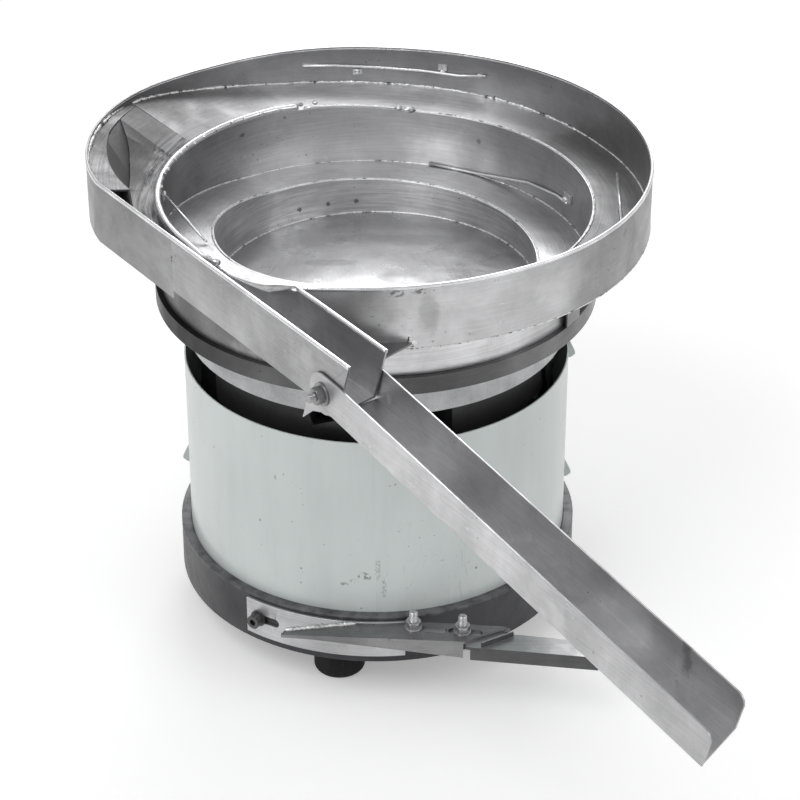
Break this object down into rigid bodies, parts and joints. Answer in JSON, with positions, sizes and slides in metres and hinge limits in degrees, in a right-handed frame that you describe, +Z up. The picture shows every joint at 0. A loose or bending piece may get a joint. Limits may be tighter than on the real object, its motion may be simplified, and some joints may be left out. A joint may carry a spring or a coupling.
{
  "type": "vibratory bowl feeder",
  "caption": "Spiral stainless bowl feeder on a round electromagnetic drive, with a sloping side chute and a slotted front bracket.",
  "frame": {"origin": "on the bowl's axis at floor level", "axes": "+Z up; the chute runs out towards -Y and +X"},
  "size_m": [0.5231, 1.0011, 0.46],
  "materials": {
    "brushed_stainless": "worn brushed stainless sheet with weld pits",
    "bright_wire": "bright stainless wire and tabs",
    "dark_steel": "dark oiled steel",
    "aluminium_casting": "dull machined casting",
    "black_iron": "black painted iron",
    "grey_paint": "dark grey satin paint",
    "copper_coil": "varnished winding",
    "pale_paint": "pale mint white paint with scuffs",
    "zinc_plate": "plain steel and zinc-plated fasteners",
    "black_rubber": "matt moulded rubber",
    "black_plastic": "matt black plastic"
  },
  "bodies": {
    "base": {"magnet_core": "dark_steel", "magnet_coil": "copper_coil", "lower_clamp_plates": "dark_steel", "lower_spring_bolts": "dark_steel", "rubber_feet": "black_rubber", "foot_screws": "dark_steel", "bottom_plate": "dark_steel", "base_casting": "black_iron", "base_ring": "grey_paint", "cable_gland": "black_plastic", "cover": "pale_paint", "cover_ears": "pale_paint", "mount_plate": "zinc_plate", "slot_bolt": "dark_steel", "bracket_channel": "zinc_plate", "spring_pack_1": "dark_steel", "spring_pack_2": "dark_steel", "spring_pack_3": "dark_steel", "spring_pack_4": "dark_steel", "lower_block_1": "black_iron", "lower_block_2": "black_iron", "lower_block_3": "black_iron", "lower_block_4": "black_iron"},
    "bowl": {"bowl_floor": "brushed_stainless", "inner_wall": "brushed_stainless", "lower_track": "brushed_stainless", "track_riser": "brushed_stainless", "middle_wall": "brushed_stainless", "upper_track": "brushed_stainless", "end_track": "brushed_stainless", "drop_wall": "brushed_stainless", "return_pan": "brushed_stainless", "outer_wall": "brushed_stainless", "wall_bead": "brushed_stainless", "exit_trough": "brushed_stainless", "trough_gusset": "brushed_stainless", "outer_guide_wire": "bright_wire", "middle_guide_wire": "bright_wire", "inner_guide_rail": "bright_wire", "track_rod": "bright_wire", "cross_rod": "bright_wire", "wire_clips": "bright_wire", "seat_ring": "dark_steel", "hold_down_tabs": "bright_wire", "top_casting": "aluminium_casting", "armature": "dark_steel", "upper_clamp_plates": "dark_steel", "upper_spring_bolts": "dark_steel", "upper_block_1": "black_iron", "upper_block_2": "black_iron", "upper_block_3": "black_iron", "upper_block_4": "black_iron", "pivot_bolts": "zinc_plate", "pivot_washers": "zinc_plate", "pivot_nuts": "zinc_plate"},
    "chute": {"chute": "brushed_stainless"},
    "arm": {"extension_arm": "zinc_plate", "bracket_studs": "zinc_plate", "bracket_washers": "zinc_plate", "bracket_nuts": "zinc_plate"}
  },
  "joints": [
    {"name": "bowl_shake", "type": "hinge", "parent": "base", "child": "bowl", "pos_m": [0, 0, 0.31], "axis": [0, 0, 1], "range_deg": [-0.4, 0.4], "stiffness_Nm_per_rad": 3000, "deforming": ["spring_pack_1", "spring_pack_2", "spring_pack_3", "spring_pack_4"]},
    {"name": "chute_tilt", "type": "hinge", "parent": "bowl", "child": "chute", "pos_m": [-0.02084, -0.34406, 0.42], "axis": [-0.8221, -0.5693, 0], "range_deg": [-20, 2]},
    {"name": "arm_slide", "type": "slide", "parent": "base", "child": "arm", "axis": [0.9903, -0.1392, 0], "range_m": [-0.001, 0.014]}
  ]
}
